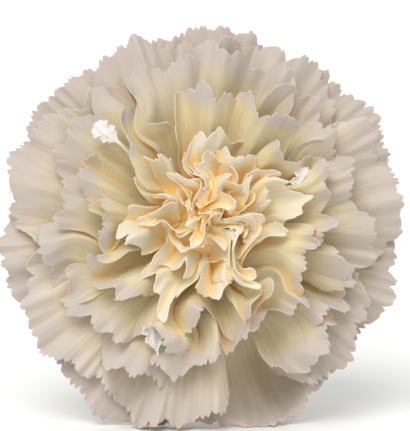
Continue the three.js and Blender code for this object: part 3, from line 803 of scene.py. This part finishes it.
def petal_material(name, stops, rim_colour, rim_from, painted_crevice_colour):
    """Fresh petal tissue: matt, with fine veins along it and slightly uneven colour.

    Real petals let light through, so their crevices glow warm. Here that glow is painted: a
    colour that grows with the nearness of other petals, and it doesn't follow the lights.
    Where that colour is darker than the face, as in the outer petals, it is painted shade.
    """
    material, tree, surface = new_surface(name, {
        "Roughness": 0.7, "Specular IOR Level": 0.2,
        "Subsurface Weight": 1.0, "Subsurface Radius": (1.0, 0.97, 0.9),
        "Subsurface Scale": 0.15 * MM,
    })
    along, across, luck = [
        new_node(tree, "ShaderNodeAttribute", {"attribute_name": layer}, out="Fac")
        for layer in ("along", "across", "luck")]
    face = new_node(tree, "ShaderNodeValToRGB", links={"Fac": along}, stops=stops)

    spot = new_node(tree, "ShaderNodeTexCoord", out="Object")
    patch = new_node(tree, "ShaderNodeTexNoise",
                     {"Scale": 1 / (PATCH_WIDE * MM), "Detail": 2.0}, {"Vector": spot})
    patches = new_node(tree, "ShaderNodeValToRGB", links={"Fac": patch},
                       stops=[(0.35, (0.93, 0.93, 0.95)), (0.65, (1.04, 1.03, 1.0))])
    face = new_node(tree, "ShaderNodeMix", MULTIPLY, {LOW: face, HIGH: patches}, out=MIXED)

    stretched = [
        new_node(tree, "ShaderNodeMath", {"operation": "MULTIPLY", 1: factor}, {0: source})
        for source, factor in ((across, 1 / VEIN_WIDE), (along, 5.0), (luck, 20.0))]
    place = new_node(tree, "ShaderNodeCombineXYZ", links=dict(zip("XYZ", stretched)))
    vein = new_node(tree, "ShaderNodeTexNoise", {"Scale": 1.0, "Detail": 1.0}, {"Vector": place})
    streaks = new_node(tree, "ShaderNodeValToRGB", links={"Fac": vein},
                       stops=[(0.35, (0.94, 0.93, 0.91)), (0.6, (1.02, 1.02, 1.01))])
    face = new_node(tree, "ShaderNodeMix", MULTIPLY, {LOW: face, HIGH: streaks}, out=MIXED)

    edge = new_node(tree, "ShaderNodeValToRGB", links={"Fac": along},
                    stops=[(rim_from, BLACK), (0.985, WHITE)])
    face = new_node(tree, "ShaderNodeMix", {**MIX, HIGH: opaque(rim_colour)},
                    {SHARE: edge, LOW: face}, out=MIXED)

    # Painted light: where other petals are near, the crevice colour comes in, painted shade in the
    # outer petals and a painted glow in the others
    open_share = new_node(tree, "ShaderNodeAmbientOcclusion",
                          {"samples": 6, "Distance": PAINTED_CREVICE_NEAR * MM}, out="AO")
    painted_crevice = new_node(tree, "ShaderNodeValToRGB", links={"Fac": open_share},
                       stops=[(0.15, WHITE), (0.65, BLACK)])
    face = new_node(tree, "ShaderNodeMix", {**MIX, HIGH: opaque(painted_crevice_colour)},
                    {SHARE: painted_crevice, LOW: face}, out=MIXED)
    tree.links.new(face, surface.inputs["Base Color"])

    bump = new_node(tree, "ShaderNodeBump", {"Strength": 0.35, "Distance": VEIN_DEEP * MM},
                    {"Height": vein})
    tree.links.new(bump, surface.inputs["Normal"])
    return material


def petaloid_material():
    """Petaloid stamen: papery tissue that lost its colour, so it is white and dull."""
    material, tree, surface = new_surface("petaloid_tissue", {
        "Roughness": 0.6, "Specular IOR Level": 0.3,
        "Subsurface Weight": 0.5, "Subsurface Radius": (1.0, 0.9, 0.8),
        "Subsurface Scale": 1.0 * MM,
    })
    spot = new_node(tree, "ShaderNodeTexCoord", out="Object")
    mottle = new_node(tree, "ShaderNodeTexNoise", {"Scale": 1 / (1.5 * MM), "Detail": 2.0},
                      {"Vector": spot})
    face = new_node(tree, "ShaderNodeValToRGB", links={"Fac": mottle},
                    stops=[(0.3, linear("dad2ca")), (0.7, linear("efe9e2"))])
    tree.links.new(face, surface.inputs["Base Color"])
    return material


def green_material(name, main, pale, stripe_layer, stripes, pale_from):
    """Waxed plant skin: a bloom of wax greys the green in patches and softens its gloss.

    Pale stripes follow each other along the stripe layer, and the tips are pale.
    """
    material, tree, surface = new_surface(name, {
        "Roughness": 0.5, "Specular IOR Level": 0.4,
        "Subsurface Weight": 0.15, "Subsurface Radius": (0.6, 1.0, 0.4),
        "Subsurface Scale": 0.8 * MM,
    })
    tip, stripe_place = [
        new_node(tree, "ShaderNodeAttribute", {"attribute_name": layer}, out="Fac")
        for layer in ("toward_tip", stripe_layer)]
    spot = new_node(tree, "ShaderNodeTexCoord", out="Object")
    patch = new_node(tree, "ShaderNodeTexNoise", {"Scale": 1 / (4.0 * MM), "Detail": 4.0},
                     {"Vector": spot})
    wax = new_node(tree, "ShaderNodeValToRGB", links={"Fac": patch},
                   stops=[(0.3, main), (0.75, blended(main, pale, 0.25))])

    phase = new_node(tree, "ShaderNodeMath", {"operation": "MULTIPLY", 1: stripes},
                     {0: stripe_place})
    wave = new_node(tree, "ShaderNodeMath", {"operation": "SINE"}, {0: phase})
    line = new_node(tree, "ShaderNodeMath", {"operation": "MULTIPLY_ADD", 1: 0.5, 2: 0.5},
                    {0: wave})
    faint = new_node(tree, "ShaderNodeMath", {"operation": "MULTIPLY", 1: 0.35}, {0: line})
    face = new_node(tree, "ShaderNodeMix", {**MIX, HIGH: opaque(pale)},
                    {SHARE: faint, LOW: wax}, out=MIXED)

    ends = new_node(tree, "ShaderNodeValToRGB", links={"Fac": tip},
                    stops=[(pale_from, BLACK), (1.0, WHITE)])
    face = new_node(tree, "ShaderNodeMix", {**MIX, HIGH: opaque(pale)},
                    {SHARE: ends, LOW: face}, out=MIXED)
    tree.links.new(face, surface.inputs["Base Color"])
    bump = new_node(tree, "ShaderNodeBump", {"Strength": 0.4, "Distance": 0.1 * MM},
                    {"Height": line})
    tree.links.new(bump, surface.inputs["Normal"])
    return material


def stem_material(main, pale):
    """Waxed stem skin, with pale wet pith on the cut end."""
    material, tree, surface = new_surface("waxed_stem_skin", {
        "Roughness": 0.48, "Specular IOR Level": 0.4,
        "Subsurface Weight": 0.12, "Subsurface Radius": (0.6, 1.0, 0.4),
        "Subsurface Scale": 0.8 * MM,
    })
    spot = new_node(tree, "ShaderNodeTexCoord", out="Object")
    patch, grain = [
        new_node(tree, "ShaderNodeTexNoise", {"Scale": 1 / (size * MM), "Detail": detail},
                 {"Vector": spot})
        for size, detail in ((3.0, 5.0), (0.6, 2.0))]
    skin = new_node(tree, "ShaderNodeValToRGB", links={"Fac": patch},
                    stops=[(0.3, main), (0.8, blended(main, pale, 0.4))])
    pith = new_node(tree, "ShaderNodeAttribute", {"attribute_name": "pith_face"}, out="Fac")
    face = new_node(tree, "ShaderNodeMix", {**MIX, HIGH: linear("cdd6a2")},
                    {SHARE: pith, LOW: skin}, out=MIXED)
    tree.links.new(face, surface.inputs["Base Color"])
    bump = new_node(tree, "ShaderNodeBump", {"Strength": 0.3, "Distance": 0.08 * MM},
                    {"Height": grain})
    tree.links.new(bump, surface.inputs["Normal"])
    return material


# Settings

def colour_setting(name, description, colour):
    return bpy.props.FloatVectorProperty(
        name=name, description=description, subtype="COLOR", size=3, min=0, max=1,
        default=linear(colour)[:3])


def size_setting(name, description, size_mm):
    return bpy.props.FloatProperty(
        name=name, description=description, unit="LENGTH", precision=5, default=size_mm * MM)


class CarnationPetals(bpy.types.PropertyGroup):
    thickness: size_setting("Thickness", "Thickness of a petal", 0.15)
    outer: colour_setting("Outer", "Colour of the outer petals' faces", "cbc1b7")
    middle: colour_setting("Middle", "Colour of the middle petals' faces", "d2c6a6")
    heart: colour_setting("Heart", "Colour of the heart petals' faces", "ddd0aa")
    deep: colour_setting("Deep", "Colour of the petals' feet, deep in the bloom", "f8da9e")
    claw: colour_setting("Claw", "Colour of the outer petals' narrow claws", "d8d8b2")
    rim: colour_setting("Rim", "Tint along the cut edges", "c2b7ae")


class CarnationGreens(bpy.types.PropertyGroup):
    calyx: colour_setting("Calyx", "Colour of the calyx and its bracts", "7f9660")
    stem: colour_setting("Stem", "Colour of the stem", "7d9468")
    leaf: colour_setting("Leaf", "Colour of the leaves", "748c6e")
    pale: colour_setting("Pale", "Colour of the wax, tips and ribs", "b9c6a0")


class CarnationStage(bpy.types.PropertyGroup):
    elevation: bpy.props.FloatProperty(
        name="Elevation", description="How far the camera looks down", subtype="ANGLE",
        default=math.radians(8))
    distance: bpy.props.FloatProperty(
        name="Distance", description="From the camera to the bloom", unit="LENGTH", default=0.75)
    picture: size_setting("Picture", "Height of the picture at the bloom", 81.6)
    sky: bpy.props.FloatProperty(
        name="Sky", description="Brightness of the light from all round", default=0.78)
    key: bpy.props.FloatProperty(
        name="Key light", description="Strength of the soft light from above", default=1.95)


# Operators

def settings_of(context):
    scene = context.scene
    return scene.carnation_petals, scene.carnation_greens, scene.carnation_stage


def add_petals(name, rings, columns, rows, material, thickness, bed=False):
    """Makes a piece of rings of petals, each with its place, and the heart's bed if asked."""
    form = bmesh.new()
    for petals, place in rings:
        petal_ring(form, petals, place, columns, rows, thickness)
    if bed:
        heart_bed(form)
    add_piece(finished_mesh(form, name), ["bloom"], material, thickness)


class CARNATION_OT_outer_petals(bpy.types.Operator):
    """Makes the guard petals and the collar of petals in front of them"""
    bl_idname = "carnation.outer_petals"
    bl_label = "Outer petals"

    def execute(self, context):
        petals = settings_of(context)[0]
        stops = [(0.35, petals.claw), (0.66, petals.middle), (0.94, petals.outer)]
        # Painted shade: a darker warm colour where other petals crowd the outer petals
        painted_crevice = linear("bda983")
        material = petal_material("outer_petal_tissue", stops, petals.rim, 0.88, painted_crevice)
        for name, table, place in (("petals_guard", GUARD_PETALS, GUARD_PLACE),
                                   ("petals_collar", COLLAR_PETALS, COLLAR_PLACE)):
            add_petals(name, [(table, place)], OUTER_COLUMNS, PETAL_ROWS, material,
                       petals.thickness)
        return {"FINISHED"}


class CARNATION_OT_middle_petals(bpy.types.Operator):
    """Makes the broad petals between the collar and the heart"""
    bl_idname = "carnation.middle_petals"
    bl_label = "Middle petals"

    def execute(self, context):
        petals = settings_of(context)[0]
        middle_stops = [(0.28, petals.deep), (0.54, petals.middle), (0.82, petals.middle),
                        (1.0, petals.outer)]
        inner_stops = [(0.38, petals.deep), (0.66, petals.heart), (1.0, petals.middle)]
        # Painted glow: a paler warm colour where other petals crowd the middle and inner petals
        painted_crevice = linear("e6cd98")
        for name, table, place, columns, stops, rim_from in (
                ("petals_middle", MIDDLE_PETALS, MIDDLE_PLACE, MIDDLE_COLUMNS, middle_stops, 0.86),
                ("petals_inner", INNER_PETALS, INNER_PLACE, INNER_COLUMNS, inner_stops, 0.90)):
            material = petal_material(name + "_tissue", stops, petals.rim, rim_from, painted_crevice)
            add_petals(name, [(table, place)], columns, PETAL_ROWS, material, petals.thickness)
        return {"FINISHED"}


class CARNATION_OT_heart_petals(bpy.types.Operator):
    """Makes the crumpled petals of the heart"""
    bl_idname = "carnation.heart_petals"
    bl_label = "Heart petals"

    def execute(self, context):
        petals = settings_of(context)[0]
        stops = [(0.42, petals.deep), (0.7, petals.heart), (0.95, linear("dbd2b6"))]
        rim = linear("dad1be")
        # Painted glow: a paler warm colour where other petals crowd the heart's petals
        painted_crevice = linear("fee8b8")
        material = petal_material("heart_petal_tissue", stops, rim, 0.84, painted_crevice)
        rings = zip(heart_petals(), HEART_PLACES)
        add_petals("petals_heart", rings, HEART_COLUMNS, HEART_ROWS, material, petals.thickness,
                   bed=True)
        return {"FINISHED"}


class CARNATION_OT_petaloids(bpy.types.Operator):
    """Makes the small white petaloid stamens that stand out of the bloom"""
    bl_idname = "carnation.petaloids"
    bl_label = "Petaloid stamens"

    def execute(self, context):
        thickness = settings_of(context)[0].thickness
        form = bmesh.new()
        for points in PETALOIDS:
            petaloid_sheet(form, points, thickness)
        add_piece(finished_mesh(form, "petaloid_stamens"), ["bloom"],
                  petaloid_material(), thickness)
        return {"FINISHED"}


class CARNATION_OT_calyx(bpy.types.Operator):
    """Makes the toothed calyx cup"""
    bl_idname = "carnation.calyx"
    bl_label = "Calyx"

    def execute(self, context):
        greens = settings_of(context)[1]
        material = green_material("calyx_skin", greens.calyx, greens.pale, "around",
                                  CALYX_RIBS * math.pi, 0.9)
        add_piece(calyx_mesh(), ["calyx"], material, CALYX_WALL * MM)
        return {"FINISHED"}


class CARNATION_OT_bracts(bpy.types.Operator):
    """Makes the four pointed bracts round the calyx's base"""
    bl_idname = "carnation.bracts"
    bl_label = "Bracts"

    def execute(self, context):
        greens = settings_of(context)[1]
        material = green_material("bract_skin", greens.calyx, greens.pale, "toward_tip", 20, 0.8)
        for number in range(4):
            add_piece(bract_mesh(number), [f"bract_{number + 1}"], material,
                      BRACT_THICK * MM)
        return {"FINISHED"}


class CARNATION_OT_stem(bpy.types.Operator):
    """Makes the stem with its swollen nodes and slanting cut end"""
    bl_idname = "carnation.stem"
    bl_label = "Stem"

    def execute(self, context):
        greens = settings_of(context)[1]
        add_piece(stem_mesh(), ["stem"], stem_material(greens.stem, greens.pale))
        return {"FINISHED"}


class CARNATION_OT_leaves(bpy.types.Operator):
    """Makes the two pairs of leaves"""
    bl_idname = "carnation.leaves"
    bl_label = "Leaves"

    def execute(self, context):
        greens = settings_of(context)[1]
        material = green_material("waxed_leaf_skin", greens.leaf, greens.pale, "side",
                                  LEAF_STRIPES * math.pi, 0.97)
        for pair in LEAF_PAIRS:
            add_piece(leaf_pair_mesh(pair), [pair.name], material, LEAF_THICK * MM)
        return {"FINISHED"}


class CARNATION_OT_stage(bpy.types.Operator):
    """Makes the floor, the soft lights and the camera"""
    bl_idname = "carnation.stage"
    bl_label = "Stage"

    def execute(self, context):
        stage = settings_of(context)[2]
        form = bmesh.new()
        bmesh.ops.create_grid(form, x_segments=1, y_segments=1, size=FLOOR_HALF)
        floor_mesh = bpy.data.meshes.new("floor")
        form.to_mesh(floor_mesh)
        form.free()
        floor = bpy.data.objects.new("floor", floor_mesh)
        context.scene.collection.objects.link(floor)
        material, _, _ = new_surface("matt_white_paper", {
            "Base Color": linear("f8f8f8"), "Roughness": 0.9, "Specular IOR Level": 0.1})
        floor_mesh.materials.append(material)

        world = bpy.data.worlds.new("studio_light")
        world.use_nodes = True
        background = world.node_tree.nodes["Background"]
        background.inputs["Color"].default_value = linear("ffffff")
        background.inputs["Strength"].default_value = stage.sky
        context.scene.world = world
        context.scene.view_settings.view_transform = "Standard"
        context.scene.cycles.diffuse_bounces = PETAL_BOUNCES

        centre = Vector((flower_matrix() @ np.array((0, 0, BLOOM_MIDDLE, 1)))[:3]) * MM
        back = Vector((0, -math.cos(stage.elevation), math.sin(stage.elevation)))
        up = Vector((0, math.sin(stage.elevation), math.cos(stage.elevation)))
        aim = centre + Vector((AIM_ASIDE, 0, 0)) * MM + up * AIM_ABOVE * MM
        lens = bpy.data.cameras.new("camera")
        lens.lens = lens.sensor_width * stage.distance / stage.picture
        lens.clip_end = SIGHT
        camera = bpy.data.objects.new("camera", lens)
        camera.location = aim + back * stage.distance
        camera.rotation_mode = "QUATERNION"
        camera.rotation_quaternion = (-back).to_track_quat("-Z", "Y")
        context.scene.collection.objects.link(camera)
        context.scene.camera = camera

        lamp = bpy.data.lights.new("soft_key", "SUN")
        lamp.angle = math.radians(LIGHT_WIDE)
        lamp.energy = stage.key
        key = bpy.data.objects.new("soft_key", lamp)
        from_key = Vector(LIGHT_FROM)
        key.location = centre + from_key
        key.rotation_mode = "QUATERNION"
        key.rotation_quaternion = (-from_key).to_track_quat("-Z", "Y")
        context.scene.collection.objects.link(key)
        return {"FINISHED"}


class CARNATION_PT_panel(bpy.types.Panel):
    """Lists the pieces and their settings"""
    bl_label = "Carnation"
    bl_idname = "CARNATION_PT_panel"
    bl_space_type = "VIEW_3D"
    bl_region_type = "UI"
    bl_category = "Carnation"

    def draw(self, context):
        layout = self.layout
        for group in settings_of(context):
            column = layout.column()
            for key in group.__annotations__:
                column.prop(group, key)
        for operator in PIECES:
            layout.operator(operator.bl_idname)


PIECES = (
    CARNATION_OT_outer_petals, CARNATION_OT_middle_petals, CARNATION_OT_heart_petals,
    CARNATION_OT_petaloids, CARNATION_OT_calyx, CARNATION_OT_bracts, CARNATION_OT_stem,
    CARNATION_OT_leaves, CARNATION_OT_stage,
)
GROUPS = {
    "carnation_petals": CarnationPetals,
    "carnation_greens": CarnationGreens,
    "carnation_stage": CarnationStage,
}
CLASSES = (*GROUPS.values(), *PIECES, CARNATION_PT_panel)


def register():
    for kind in CLASSES:
        bpy.utils.register_class(kind)
    for name, group in GROUPS.items():
        setattr(bpy.types.Scene, name, bpy.props.PointerProperty(type=group))


def unregister():
    for name in GROUPS:
        delattr(bpy.types.Scene, name)
    for kind in reversed(CLASSES):
        bpy.utils.unregister_class(kind)


def main():
    """Makes every piece and the stage."""
    register()
    for operator in PIECES:
        namespace, action = operator.bl_idname.split(".")
        getattr(getattr(bpy.ops, namespace), action)()
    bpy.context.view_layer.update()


if __name__ == "__main__":
    main()
